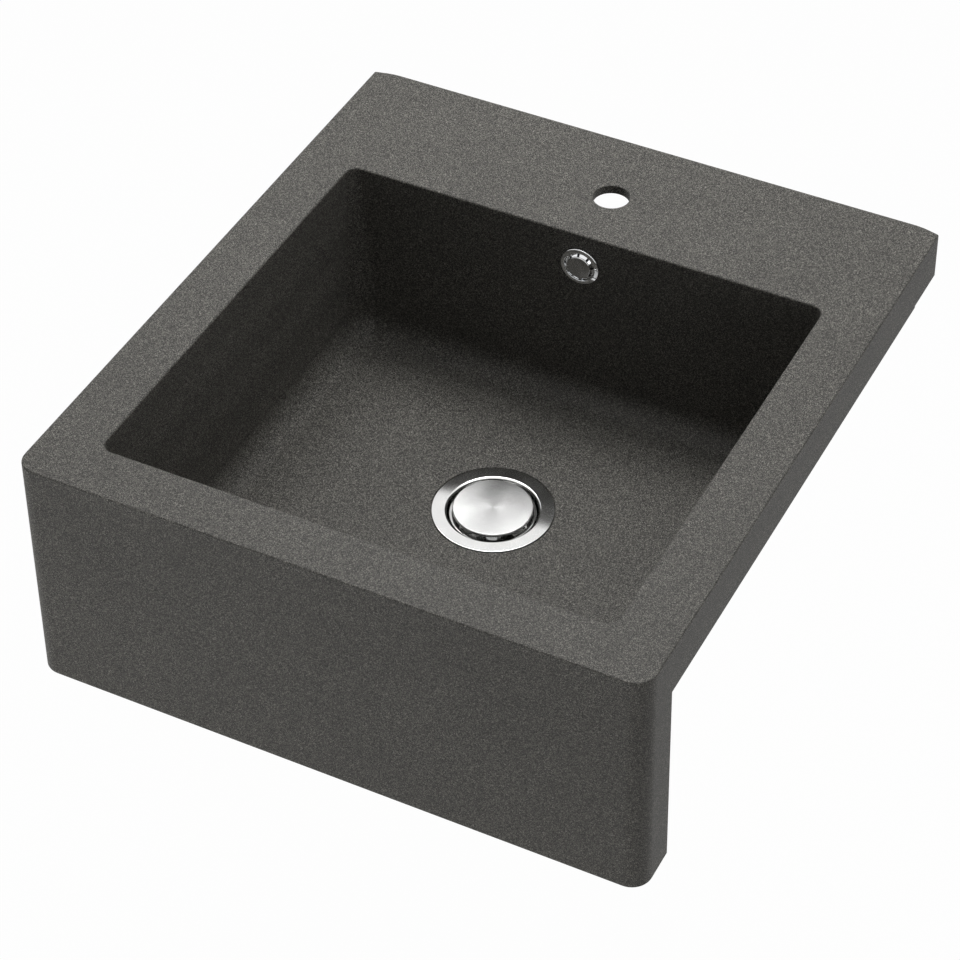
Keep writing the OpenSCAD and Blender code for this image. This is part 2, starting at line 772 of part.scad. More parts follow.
// Hose nut and cone washer, z runs from the spigot's end towards the hose
module hose_nut() color(plastic_white) {
    rib_ring_r = nut_d / 2 - nut_grip_r;
    end_z = cone_t + rest_gap + nut_shoulder;
    difference() {
        translate([0, 0, -nut_lap]) {
            cylinder(h = nut_lap + end_z, r = rib_ring_r);
            for (k = [0:nut_grips - 1])
                rotate([0, 0, 360 * k / nut_grips])
                    translate([rib_ring_r, 0, 0]) cylinder(h = nut_lap + end_z, r = nut_grip_r, $fn = 24);
        }
        translate([0, 0, -nut_lap - cut])
            cylinder(h = nut_lap + cut + cone_t + rest_gap, d = spigot_d + 2 * thread_gap);
        cylinder(h = end_z + cut, d = cuff_d + 2 * socket_gap);
    }
}

module cone_washer() color(rubber_black) {
    inner_r = cuff_d / 2 + thread_gap;
    outer_r = spigot_d / 2 - cone_lip / 4;
    rotate_extrude() polygon([
        [inner_r, 0],
        [outer_r, 0],
        [outer_r, cone_lip],
        [inner_r + cone_lip, cone_t],
        [inner_r, cone_t]]);
}

module at_upper_joint() translate([0, hose_y, spigot_end_z]) rotate([180, 0, 0]) children();

module at_lower_joint() along_y(branch_end_y, branch_z) children();

module upper_hose_nut() at_upper_joint() hose_nut();
module lower_hose_nut() at_lower_joint() hose_nut();
module upper_cone_washer() at_upper_joint() cone_washer();
module lower_cone_washer() at_lower_joint() cone_washer();

// Ribbed hose: a smooth curve through the route, with rings set along it
function curve_point(a, b, c, d, t) =
    (2 * b + (c - a) * t + (2 * a - 5 * b + 4 * c - d) * t * t + (3 * b - a - 3 * c + d) * t * t * t) / 2;

function route_at(k) = hose_route[max(0, min(len(hose_route) - 1, k))];

hose_curve = concat(
    [for (k = [0:len(hose_route) - 2], s = [0:route_steps - 1])
        curve_point(route_at(k - 1), route_at(k), route_at(k + 1), route_at(k + 2), s / route_steps)],
    [route_at(len(hose_route) - 1)]);

function run_lengths(points, k = 1, so_far = [0]) =
    k == len(points) ? so_far
    : run_lengths(points, k + 1, concat(so_far, [so_far[k - 1] + norm(points[k] - points[k - 1])]));

hose_runs = run_lengths(hose_curve);
hose_l = hose_runs[len(hose_runs) - 1];

function run_index(s, k = 0) = k >= len(hose_runs) - 2 || hose_runs[k + 1] >= s ? k : run_index(s, k + 1);

// Ring of points about the hose's centre line
function hose_ring(s, r) =
    let (k = run_index(s),
         part_share = (s - hose_runs[k]) / (hose_runs[k + 1] - hose_runs[k]),
         centre = hose_curve[k] + part_share * (hose_curve[k + 1] - hose_curve[k]),
         before = hose_curve[max(0, k - 1)],
         after = hose_curve[min(len(hose_curve) - 1, k + 2)],
         along = (after - before) / norm(after - before),
         side = [1, 0, 0],
         out = cross(along, side))
    [for (j = [0:hose_sides - 1])
        centre + r * (cos(360 * j / hose_sides) * side + sin(360 * j / hose_sides) * out)];

cuff_l = hose_d;
ribs = floor((hose_l - 2 * cuff_l) / rib_pitch);
rib_start = (hose_l - ribs * rib_pitch) / 2;
bore_rings = 24;
outer_rings = concat(
    [hose_ring(0, cuff_d / 2), hose_ring(rib_start - rib_pitch / 4, cuff_d / 2)],
    [for (k = [0:ribs - 1], half = [0, 1])
        hose_ring(rib_start + rib_pitch * (k + 1 / 4 + half / 2), half == 0 ? hose_d / 2 : hose_valley_d / 2)],
    [hose_ring(hose_l - rib_start + rib_pitch / 4, cuff_d / 2), hose_ring(hose_l, cuff_d / 2)]);
inner_rings = [for (k = [bore_rings:-1:0]) hose_ring(hose_l * k / bore_rings, hose_bore_d / 2)];

module overflow_hose() color(plastic_white) {
    rings = concat(outer_rings, inner_rings);
    count = len(rings);
    points = [for (ring = rings, p = ring) p];
    faces = [for (k = [0:count - 1], j = [0:hose_sides - 1], half = [0, 1])
        let (next = (k + 1) % count,
             turn = (j + 1) % hose_sides,
             a = k * hose_sides + j,
             b = k * hose_sides + turn,
             c = next * hose_sides + turn,
             d = next * hose_sides + j)
        half == 0 ? [a, b, c] : [a, c, d]];
    polyhedron(points, faces);
}

echo(hose_length = hose_l, ribs = ribs, outlet_end = outlet_end_z);

sink_casting();
flange_gasket();
strainer_cup();
body_gasket();
waste_body();
insert_nut();
fixing_screw();
screw_washer();
strainer_basket();
basket_stem();
basket_seal();
seal_washer();
stem_clip();
stem_ring();
drain_cover();
cover_hub();
rim_gasket();
overflow_ring();
overflow_button();
overflow_screw();
rear_gasket();
overflow_elbow();
elbow_insert();
overflow_hose();
upper_hose_nut();
lower_hose_nut();
upper_cone_washer();
lower_cone_washer();
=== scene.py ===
from contextlib import contextmanager
from math import atan2, cos, hypot, pi, radians, sin, tan

import bmesh
import bpy
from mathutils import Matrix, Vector


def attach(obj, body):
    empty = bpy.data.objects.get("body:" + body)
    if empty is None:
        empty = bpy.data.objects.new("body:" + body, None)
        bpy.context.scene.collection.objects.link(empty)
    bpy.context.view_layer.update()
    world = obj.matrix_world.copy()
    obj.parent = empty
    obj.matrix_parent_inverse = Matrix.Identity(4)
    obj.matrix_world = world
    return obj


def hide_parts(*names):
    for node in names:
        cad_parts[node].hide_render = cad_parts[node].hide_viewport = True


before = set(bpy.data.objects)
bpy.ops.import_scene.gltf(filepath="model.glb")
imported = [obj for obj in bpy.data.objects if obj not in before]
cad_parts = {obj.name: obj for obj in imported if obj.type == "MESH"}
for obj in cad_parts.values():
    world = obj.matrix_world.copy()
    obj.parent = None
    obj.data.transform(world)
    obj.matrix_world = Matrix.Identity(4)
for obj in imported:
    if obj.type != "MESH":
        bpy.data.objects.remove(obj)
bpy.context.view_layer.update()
mm = 0.001


# Camera at the photo's angle, in metres and degrees
photoCamera = {
    "target": (0.05469, -0.315, -0.0792),
    "distance": 2.7384,
    "azimuth": 26.33,
    "elevation": 42.31,
    "lens": 115.94,
    "sensor": 36,
    "shift": (-0.0366, -0.0020),
    "farthest": 50,
}


def placeCamera():
    turn, rise = radians(photoCamera["azimuth"]), radians(photoCamera["elevation"])
    back = Vector((sin(turn) * cos(rise), -cos(turn) * cos(rise), sin(rise)))
    place = Vector(photoCamera["target"]) + back * photoCamera["distance"]
    bpy.ops.object.camera_add(location=place, rotation=(pi / 2 - rise, 0, turn))
    camera = bpy.context.object
    camera.data.lens = photoCamera["lens"]
    camera.data.sensor_width = photoCamera["sensor"]
    camera.data.shift_x, camera.data.shift_y = photoCamera["shift"]
    camera.data.clip_end = photoCamera["farthest"]
    bpy.context.scene.camera = camera


placeCamera()
print("camera is in place")


# Shader nodes: a wire is an output socket, and sums on wires add Math nodes
class Wire:
    def __init__(self, finish, socket):
        self.finish = finish
        self.socket = socket

    def sum(self, operation, first, second):
        return self.finish.add("Math", {"operation": operation}, {0: first, 1: second})

    def __add__(self, other):
        return self.sum("ADD", self, other)

    def __radd__(self, other):
        return self.sum("ADD", other, self)

    def __mul__(self, other):
        return self.sum("MULTIPLY", self, other)

    def __rmul__(self, other):
        return self.sum("MULTIPLY", other, self)


noiseRange = (0.3, 0.7)      # smooth noise stays between these nearly everywhere


class Finish:
    def __init__(self, tree):
        self.tree = tree
        self.tree.nodes.clear()

    def add(self, kind, settings=None, inputs=None, out=0):
        node = self.tree.nodes.new("ShaderNode" + kind)
        for name, value in (settings or {}).items():
            setattr(node, name, value)
        for name, value in (inputs or {}).items():
            if isinstance(value, Wire):
                self.tree.links.new(value.socket, node.inputs[name])
            else:
                node.inputs[name].default_value = value
        return Wire(self, node.outputs[out]) if len(node.outputs) else None

    def place(self, stretch=(1, 1, 1), centre=(0, 0, 0)):
        # Object coordinates, counted from centre and stretched
        coords = self.add("TexCoord", out="Object")
        moved = tuple(-c * s for c, s in zip(centre, stretch))
        return self.add("Mapping", {}, {"Vector": coords, "Location": moved, "Scale": stretch})

    def apart(self, place, axis):
        return self.add("SeparateXYZ", {}, {"Vector": place}, out=axis)

    def grain(self, place, size, detail):
        # smooth noise whose spots are about size metres across
        return self.add("TexNoise", {}, {"Vector": place, "Scale": 1 / size, "Detail": detail})

    def flecks(self, place, size, channel):
        # a random number for each cell, and the cells are about size metres across
        cells = self.add("TexVoronoi", {}, {"Vector": place, "Scale": 1 / size}, out="Color")
        return self.add("SeparateColor", {}, {"Color": cells}, out=channel)

    def ramp(self, wire, low, high, start, end):
        # start to end as wire goes from low to high
        return self.add("MapRange", {"clamp": True},
                        {"Value": wire, "From Min": low, "From Max": high,
                         "To Min": start, "To Max": end})

    def shaded(self, colour, share):
        # the colour made darker or lighter
        return self.add("VectorMath", {"operation": "SCALE"}, {0: colour, "Scale": share})

    def blend(self, share, first, second):
        # a colour between two colours, which go on sockets 6 and 7 of the Mix node
        sockets = {0: share, 6: (*first, 1), 7: (*second, 1)}
        return self.add("Mix", {"data_type": "RGBA"}, sockets, out=2)

    def bump(self, height, depth, strength):
        return self.add("Bump", {}, {"Height": height, "Distance": depth, "Strength": strength})

    def surface(self, constants, base, rough, normal):
        # the constants go straight on the shader's own sockets
        shader = self.add("BsdfPrincipled", {}, {**constants, "Base Color": base,
                                                 "Roughness": rough, "Normal": normal})
        self.add("OutputMaterial", {}, {"Surface": shader})


def newMaterial(name):
    material = bpy.data.materials.new(name)
    material.use_nodes = True
    return material, Finish(material.node_tree)


# Finishes. Sizes in them are metres
quartz = {
    "tone": (0.126, 0.121, 0.1095),
    "grain": 0.0005,
    "fleck": 0.0012,
    "cloud": 0.09,
    "cloudDetail": 3,
    "cloudTone": (0.94, 1.06),
    "darkest": 0.26,
    "lightest": 3.6,
    "paleFlecks": (0.95, 0.97),
    "paleTone": 0.7,
    "roughness": (0.48, 0.66),
    "specular": 0.25,
    "bumpDepth": 0.00006,
    "bumpStrength": 0.5,
    "ior": 1.5,
}


def quartzStone():
    # crushed stone in resin: each grain has its own shade, and a few are pale
    q = quartz
    material, f = newMaterial("darkQuartz")
    place = f.place()
    cloud = f.ramp(f.grain(place, q["cloud"], q["cloudDetail"]), *noiseRange, *q["cloudTone"])
    fine = f.flecks(place, q["grain"], "Red")
    coarse = f.flecks(place, q["fleck"], "Green")
    pale = f.ramp(coarse, *q["paleFlecks"], 0, q["paleTone"])
    light = fine * fine
    shade = (q["darkest"] + q["lightest"] * light * light) * cloud + pale
    rough = f.ramp(fine, 0, 1, *q["roughness"])
    f.surface({"IOR": q["ior"], "Specular IOR Level": q["specular"]}, f.shaded(q["tone"], shade),
              rough, f.bump(fine, q["bumpDepth"], q["bumpStrength"]))
    return material


turnedSteel = {
    "lineScale": 2600,
    "lineDetail": 3,
    "lineContrast": 0.6,
    "lineTone": 0.14,
    "lineRough": 0.06,
    "lineDepth": 0.00001,
    "lineStrength": 0.2,
    "smudge": 0.03,
    "smudgeDetail": 4,
    "smudgeSpread": (0.35, 0.7),
    "smudgeTone": (0.93, 1.0),
    "smudgeRough": (0.85, 1.2),
    "smudgeDepth": 0.00002,
}


def steel(name, colour, roughness, brushed=0.0, turn=0.0, unevenness=0.3):
    # stainless steel with lines turned round the drain's upright axis
    s = turnedSteel
    material, f = newMaterial(name)
    place = f.place(centre=drainCentre)
    across, along = f.apart(place, "X"), f.apart(place, "Y")
    reach = f.add("Math", {"operation": "SQRT"}, {0: across * across + along * along})
    rings = f.add("TexNoise", {"noise_dimensions": "1D"},
                  {"W": reach, "Scale": s["lineScale"], "Detail": s["lineDetail"],
                   "Roughness": s["lineContrast"]})
    smudge = f.grain(place, s["smudge"], s["smudgeDetail"])
    tone = f.ramp(smudge, *s["smudgeSpread"], *s["smudgeTone"])
    lineTone = f.ramp(rings, *noiseRange, 1 - s["lineTone"] * brushed, 1.0)
    least, most = s["smudgeRough"]
    rough = f.ramp(smudge, *noiseRange, roughness * least, roughness * most)
    rough = rough + f.ramp(rings, *noiseRange, 0, s["lineRough"] * brushed)
    if brushed:
        normal = f.bump(rings, s["lineDepth"], s["lineStrength"] * brushed)
    else:
        normal = f.bump(smudge, s["smudgeDepth"], unevenness)
    f.surface({"Metallic": 1, "Anisotropic": turn}, f.shaded(colour, tone * lineTone),
              rough, normal)
    return material


chromePlate = {
    "haze": 0.012,
    "hazeDetail": 4,
    "toneSpread": (0.35, 0.7),
    "tone": (0.94, 1.0),
    "roughSpread": (0.35, 0.75),
    "rough": (0.7, 1.8),
    "depth": 0.00001,
    "strength": 0.3,
}


def chrome(name, colour, roughness):
    s = chromePlate
    material, f = newMaterial(name)
    haze = f.grain(f.place(), s["haze"], s["hazeDetail"])
    base = f.shaded(colour, f.ramp(haze, *s["toneSpread"], *s["tone"]))
    least, most = s["rough"]
    rough = f.ramp(haze, *s["roughSpread"], roughness * least, roughness * most)
    f.surface({"Metallic": 1}, base, rough, f.bump(haze, s["depth"], s["strength"]))
    return material


mouldedPlastic = {
    "patch": 0.05,
    "patchDetail": 3,
    "patchTone": (0.93, 1.0),
    "patchRough": (0.85, 1.15),
    "grain": 0.0008,
    "grainDetail": 2,
    "depth": 0.00004,
    "strength": 0.35,
    "ior": 1.49,
}


def plastic(name, colour, roughness=0.42):
    # moulded plastic with a fine grain and a little unevenness of tone
    s = mouldedPlastic
    material, f = newMaterial(name)
    place = f.place()
    patch = f.grain(place, s["patch"], s["patchDetail"])
    fine = f.grain(place, s["grain"], s["grainDetail"])
    base = f.shaded(colour, f.ramp(patch, *noiseRange, *s["patchTone"]))
    least, most = s["patchRough"]
    rough = f.ramp(patch, *noiseRange, roughness * least, roughness * most)
    f.surface({"IOR": s["ior"]}, base, rough, f.bump(fine, s["depth"], s["strength"]))
    return material


softRubber = {
    "bloom": 0.008,
    "bloomDetail": 4,
    "bloomSpread": (0.45, 0.75),
    "bloomShare": 0.5,
    "bloomTone": 2.2,
    "roughness": (0.58, 0.78),
    "grain": 0.0005,
    "grainDetail": 2,
    "depth": 0.00004,
    "strength": 0.5,
    "ior": 1.5,
}


def rubber(name, colour):
    # black rubber with a greyish bloom in patches
    s = softRubber
    material, f = newMaterial(name)
    place = f.place()
    bloom = f.grain(place, s["bloom"], s["bloomDetail"])
    fine = f.grain(place, s["grain"], s["grainDetail"])
    base = f.blend(f.ramp(bloom, *s["bloomSpread"], 0, s["bloomShare"]), colour,
                   tuple(s["bloomTone"] * c for c in colour))
    rough = f.ramp(bloom, *noiseRange, *s["roughness"])
    f.surface({"IOR": s["ior"]}, base, rough, f.bump(fine, s["depth"], s["strength"]))
    return material


brassTurnings = {
    "stretch": (1, 1, 12),
    "line": 0.004,
    "lineDetail": 3,
    "dark": (0.62, 0.44, 0.19),
    "light": (0.74, 0.56, 0.27),
    "roughness": (0.22, 0.34),
    "depth": 0.00003,
    "strength": 0.4,
}


def brass():
    s = brassTurnings
    material, f = newMaterial("turnedBrass")
    lines = f.grain(f.place(stretch=s["stretch"]), s["line"], s["lineDetail"])
    base = f.blend(f.ramp(lines, *noiseRange, 0, 1), s["dark"], s["light"])
    rough = f.ramp(lines, *noiseRange, *s["roughness"])
    f.surface({"Metallic": 1}, base, rough, f.bump(lines, s["depth"], s["strength"]))
    return material


drainCentre = (0, -0.251, 0)
finishes = {
    "quartz": quartzStone(),
    "cup": steel("satinCup", (0.84, 0.84, 0.83), 0.085, unevenness=0.03),
    "basket": steel("polishedBasket", (0.60, 0.60, 0.59), 0.09),
    "cover": steel("brushedCover", (0.54, 0.54, 0.535), 0.20, brushed=0.35, turn=0.4),
    "screw": steel("brightSteel", (0.66, 0.66, 0.65), 0.22, brushed=0.3),
    "stem": chrome("stemChrome", (0.82, 0.83, 0.84), 0.10),
    "trim": chrome("trimChrome", (0.88, 0.89, 0.90), 0.06),
    "disc": chrome("satinChrome", (0.50, 0.50, 0.50), 0.13),
    "gasket": rubber("blackRubber", (0.018, 0.018, 0.018)),
    "seal": rubber("sealRubber", (0.026, 0.026, 0.028)),
    "waste": plastic("whitePlastic", (0.74, 0.74, 0.72)),
    "hose": plastic("hosePlastic", (0.66, 0.66, 0.64), roughness=0.36),
    "hub": plastic("blackPlastic", (0.022, 0.022, 0.024)),
    "brass": brass(),
}
print("finishes are made")


# Modelling helpers. Sizes are given in millimetres
weld = mm / 500       # metres: points nearer than this become one
near = 0.01           # millimetres: what lies within this of a place is at it
arcProfile = 0.5      # the profile of a bevel that is part of a circle


def deselectAll():
    bpy.ops.object.select_all(action="DESELECT")


def choose(piece):
    deselectAll()
    piece.select_set(True)
    bpy.context.view_layer.objects.active = piece


@contextmanager
def editing(piece):
    choose(piece)
    bpy.ops.object.mode_set(mode="EDIT")
    yield
    bpy.ops.object.mode_set(mode="OBJECT")


def pick(kind, test):
    # selects the vertices or edges whose ends pass the test
    bpy.ops.mesh.select_mode(type=kind)
    bpy.ops.mesh.select_all(action="DESELECT")
    mesh = bmesh.from_edit_mesh(bpy.context.object.data)
    for part in mesh.verts if kind == "VERT" else mesh.edges:
        ends = [part] if kind == "VERT" else part.verts
        if test([end.co / mm for end in ends]):
            part.select_set(True)
    bmesh.update_edit_mesh(bpy.context.object.data)


def bevel(width, segments):
    bpy.ops.mesh.bevel(offset=width * mm, offset_type="OFFSET", segments=segments,
                       profile=arcProfile, affect="EDGES", clamp_overlap=False)


def block(name, across, along, upward):
    # a box between the given places on X, Y and Z
    deselectAll()
    low, high = (Vector((across[k], along[k], upward[k])) * mm for k in (0, 1))
    bpy.ops.mesh.primitive_cube_add(size=1, location=(low + high) / 2, scale=high - low)
    bpy.ops.object.transform_apply(location=True, rotation=False, scale=True)
    piece = bpy.context.object
    piece.name = name
    return piece


def rod(name, centre, radius, length, turn=(0, 0, 0), sides=96):
    deselectAll()
    bpy.ops.mesh.primitive_cylinder_add(vertices=sides, radius=radius * mm, depth=length * mm,
                                        location=Vector(centre) * mm, rotation=turn)
    bpy.ops.object.transform_apply(location=True, rotation=True, scale=True)
    piece = bpy.context.object
    piece.name = name
    return piece


def settle(piece, place, turn):
    # moves and turns the piece, in metres and radians, and leaves its object at the origin
    piece.location, piece.rotation_euler = place, turn
    choose(piece)
    bpy.ops.object.transform_apply(location=True, rotation=True, scale=True)


def combine(piece, other, operation="DIFFERENCE"):
    choose(piece)
    bpy.ops.object.modifier_add(type="BOOLEAN")
    tool = piece.modifiers[-1]
    tool.operation, tool.solver, tool.object = operation, "EXACT", other
    bpy.ops.object.modifier_apply(modifier=tool.name)
    bpy.data.objects.remove(other)


def softened(corners, steps=5):
    # an outline through corners of (across, along, rounding), with each corner rounded
    points = []
    for k, (x, y, rounding) in enumerate(corners):
        here = Vector((x, y))
        before = Vector(corners[k - 1][:2]) - here
        after = Vector(corners[(k + 1) % len(corners)][:2]) - here
        if not rounding:
            points.append(tuple(here))
            continue
        half = before.angle(after) / 2
        inward = (before.normalized() + after.normalized()).normalized()
        centre = here + inward * rounding / sin(half)
        reach = rounding / tan(half)
        start = here + before.normalized() * reach - centre
        end = here + after.normalized() * reach - centre
        startAngle = atan2(start.y, start.x)
        sweep = (atan2(end.y, end.x) - startAngle + pi) % (2 * pi) - pi
        for s in range(steps + 1):
            angle = startAngle + sweep * s / steps
            points.append((centre.x + rounding * cos(angle), centre.y + rounding * sin(angle)))
    return points


def drawn(name, places):
    # a line of edges through the places, which are vectors in metres
    deselectAll()
    bpy.ops.mesh.primitive_plane_add(size=mm, location=(0, 0, 0))
    piece = bpy.context.object
    piece.name = name
    with editing(piece):
        bpy.ops.mesh.select_mode(type="VERT")
        bpy.ops.mesh.select_all(action="SELECT")
        bpy.ops.mesh.merge(type="CENTER")
        bpy.ops.transform.translate(value=places[0])
        for before, after in zip(places, places[1:]):
            bpy.ops.mesh.extrude_vertices_move(TRANSFORM_OT_translate={"value": after - before})
    return piece


def upended(name, outline, low, high):
    # a closed outline of (across, along) points, filled and drawn down from high to low
    places = [Vector((x, y, high)) * mm for x, y in outline]
    piece = drawn(name, places + places[:1])
    down = (0, 0, (low - high) * mm)
    with editing(piece):
        bpy.ops.mesh.select_all(action="SELECT")
        bpy.ops.mesh.remove_doubles(threshold=weld)
        bpy.ops.mesh.edge_face_add()
        bpy.ops.mesh.extrude_region_move(TRANSFORM_OT_translate={"value": down})
        bpy.ops.mesh.select_all(action="SELECT")
        bpy.ops.mesh.normals_make_consistent(inside=False)
    return piece


def level(corners, height):
    return all(abs(corner.z - height) < near for corner in corners)


def stacked(name, middle, loops, segments=12):
    # rounded rectangles of (height, half width, half length, corner radius) round y = middle,
    # bridged from one to the next and closed at both ends
    deselectAll()
    side = 2 * mm
    bpy.ops.mesh.primitive_plane_add(size=side, location=(0, 0, 0))
    piece = bpy.context.object
    piece.name = name
    with editing(piece):
        bpy.ops.mesh.select_all(action="SELECT")
        bpy.ops.mesh.delete(type="VERT")
        for k, (height, halfWidth, halfLength, rounding) in enumerate(loops):
            centre = Vector((0, middle, height)) * mm
            bpy.ops.mesh.primitive_plane_add(size=side, location=centre)
            bpy.ops.transform.resize(value=(halfWidth, halfLength, 1), center_override=centre)
            bpy.ops.mesh.bevel(offset=rounding * mm, segments=segments, affect="VERTICES",
                               clamp_overlap=False)
            bpy.ops.mesh.delete(type="ONLY_FACE")
            if k:
                last = loops[k - 1][0]
                pick("EDGE", lambda c: level(c, last) or level(c, height))
                bpy.ops.mesh.bridge_edge_loops()
        for end in (loops[0][0], loops[-1][0]):
            pick("EDGE", lambda c: level(c, end))
            bpy.ops.mesh.edge_face_add()
        bpy.ops.mesh.select_all(action="SELECT")
        bpy.ops.mesh.normals_make_consistent(inside=False)
    return piece


def turned(name, outline, steps, centre=(0, 0, 0), axis=(0, 0, 1)):
    # draws the closed outline of (radius, height) points and spins it round the axis
    axis, centre, side = Vector(axis), Vector(centre) * mm, Vector((1, 0, 0))
    places = [centre + (side * r + axis * h) * mm for r, h in outline]
    piece = drawn(name, places + places[:1])
    with editing(piece):
        bpy.ops.mesh.select_all(action="SELECT")
        bpy.ops.mesh.spin(steps=steps, angle=2 * pi, center=centre, axis=axis)
        bpy.ops.mesh.select_all(action="SELECT")
        bpy.ops.mesh.remove_doubles(threshold=weld)
        bpy.ops.mesh.normals_make_consistent(inside=False)
    return piece


def smooth(piece, angle, weighted=False):
    choose(piece)
    bpy.ops.object.shade_smooth_by_angle(angle=radians(angle))
    if weighted:
        bpy.ops.object.modifier_add(type="WEIGHTED_NORMAL")
        piece.modifiers[-1].keep_sharp = True
        bpy.ops.object.modifier_apply(modifier=piece.modifiers[-1].name)


def finish(piece, body, material, slot, node):
    piece.data.materials.clear()
    piece.data.materials.append(finishes[material])
    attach(piece, body)
    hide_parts(node)


# Ribbed hose: a straight hose with its ribs, bent along the same route as the solid
hose = {
    "route": [(0, -39, -63), (0, -39, -84), (0, -39, -106), (0, -39, -128), (0, -39, -150),
              (0, -42, -171), (0, -50, -190), (0, -62, -207), (0, -79, -219), (0, -98, -227),
              (0, -119, -230), (0, -138, -230), (0, -158, -230), (0, -178, -230), (0, -197, -230)],
    "steps": 6, "outer": 10, "cuff": 9, "cuffLength": 20, "cuffGap": 0.6,
    "bore": 7, "boreSteps": 70, "pitch": 4, "sides": 40, "smoothAngle": 50,
    # one rib: how far along the pitch, and the radius there
    "rib": [(0.08, 8.3), (0.22, 9.65), (0.34, 10), (0.58, 10), (0.70, 9.65), (0.84, 8.3)],
}


def hoseLine():
    # smooth points through the route, in metres: each stretch is aimed by the points beside it
    route = [Vector(p) * mm for p in hose["route"]]
    last = len(route) - 1
    points = []
    for k in range(last):
        a, b, c, d = route[max(0, k - 1)], route[k], route[k + 1], route[min(last, k + 2)]
        for s in range(hose["steps"]):
            t = s / hose["steps"]
            points.append((2 * b + (c - a) * t + (2 * a - 5 * b + 4 * c - d) * t ** 2
                           + (3 * b - a - 3 * c + d) * t ** 3) / 2)
    return points + [route[last]]


def makeHose():
    s = hose
    line = hoseLine()
    length = sum((b - a).length for a, b in zip(line, line[1:])) / mm
    ribs = int((length - 2 * s["cuffLength"]) / s["pitch"])
    start = (length - ribs * s["pitch"]) / 2
    outside = [(s["cuff"], h) for h in (0, start / 2, start - s["cuffGap"])]
    for k in range(ribs):
        base = start + k * s["pitch"]
        outside += [(radius, base + share * s["pitch"]) for share, radius in s["rib"]]
    outside += [(s["cuff"], length - h) for h in (start - s["cuffGap"], start / 2, 0)]
    inside = [(s["bore"], length * (1 - k / s["boreSteps"])) for k in range(s["boreSteps"] + 1)]
    piece = turned("ribbedHose", outside + inside, s["sides"])

    path = drawn("hosePath", line)
    choose(path)
    bpy.ops.object.convert(target="CURVE")
    path = bpy.context.object
    choose(piece)
    bpy.ops.object.modifier_add(type="CURVE")
    bend = piece.modifiers[-1]
    bend.object, bend.deform_axis = path, "POS_Z"
    bpy.ops.object.modifier_apply(modifier=bend.name)
    bpy.data.objects.remove(path)
    smooth(piece, s["smoothAngle"])
    finish(piece, "root", "hose", "hose_plastic", "overflow_hose")
    length * mm
    print("hose is", round(length, 1), "mm long with", ribs, "ribs")


makeHose()


# The moulding: bowl, ledge, deck, apron and skirts
# A round is given as its radius and the number of steps in it
moulding = {
    "topHalf": 297, "footHalf": 300, "front": -569, "rear": 87, "apron": -246,
    "skirt": -49.5, "rearSkirt": -47.5, "stepY": 30, "returnY": -518.5, "wall": 9,
    "frontRadius": 19, "frontSteps": 8, "rearRadius": 2, "innerRearRound": (6, 6),
    "rearArc": 25, "rearArcDrop": 4.5, "arcSteps": 10, "outlineSteps": 10,
    "topRound": (1.5, 4), "footRound": (0.7, 2), "tapRound": (0.9, 3), "seatRound": (0.4, 2),
    "bowlHalfWidth": 243, "bowlFront": -516, "bowlRear": -66, "floor": -193, "lean": 1.5,
    "bowlRadius": 11, "floorRadius": 26, "bowlSteps": 10, "leastRadius": 0.4,
    "rimRound": (2, 6), "cornerSteps": 16,
    "tapRadius": 17.5, "tapCut": 40, "drainY": -251, "drainRadius": 45.5, "drainCut": 60,
    "seatRadius": 58.5, "seatDepth": 1.5, "seatCut": 20, "drainSides": 128,
    "overflowZ": -35, "overflowRadius": 15, "overflowCut": 60,
    "beyond": 100, "uprightLeast": 20, "uprightDrift": 5, "circleFit": 0.1, "smoothAngle": 40,
}


def upright(corners):
    a, b = corners
    return (abs(a.z - b.z) > moulding["uprightLeast"]
            and hypot(a.x - b.x, a.y - b.y) < moulding["uprightDrift"])


def onCircle(corners, height, y, radius):
    # whether all corners lie on a level circle whose centre is at x = 0
    fit = moulding["circleFit"]
    return level(corners, height) and all(abs(hypot(c.x, c.y - y) - radius) < fit for c in corners)


def mouldingOutline():
    # rounded corners in front, and a rear edge that curves forward by each side
    s = moulding
    half, side = s["topHalf"], s["rear"] - s["rearArcDrop"]
    arc = []
    for k in range(s["arcSteps"] - 1):
        share = k / s["arcSteps"]
        arc.append((half - s["rearRadius"] - s["rearArc"] * (1 - share),
                    s["rear"] - s["rearArcDrop"] * share ** 2, 0))
    corners = [(-half, s["front"], s["frontRadius"]), (half, s["front"], s["frontRadius"]),
               (half, side, s["rearRadius"])]
    corners += reversed(arc)
    corners += [(-x, y, 0) for x, y, _ in arc]
    corners.append((-half, side, s["rearRadius"]))
    return softened(corners, s["outlineSteps"])


def bowlLoops(grow, top):
    # from the top down: straight leaning walls whose corners widen, then the round to the floor
    s = moulding
    halfWidth = s["bowlHalfWidth"] + grow
    halfLength = (s["bowlRear"] - s["bowlFront"]) / 2 + grow
    foot = s["floor"] + s["floorRadius"]
    steps = s["bowlSteps"]
    loops = []
    for k in range(steps + 1):
        height = top + (foot - top) * k / steps
        share = height / foot
        rounding = s["bowlRadius"] + (s["floorRadius"] - s["bowlRadius"]) * share
        loops.append((height, halfWidth - s["lean"] * share, halfLength - s["lean"] * share,
                      rounding + grow))
    radius = s["floorRadius"] + grow
    for k in range(1, steps + 1):
        angle = pi / 2 * k / steps
        inset = radius * (1 - cos(angle))
        loops.append((foot - radius * sin(angle), halfWidth - s["lean"] - inset,
                      halfLength - s["lean"] - inset, max(s["leastRadius"], radius - inset)))
    return loops


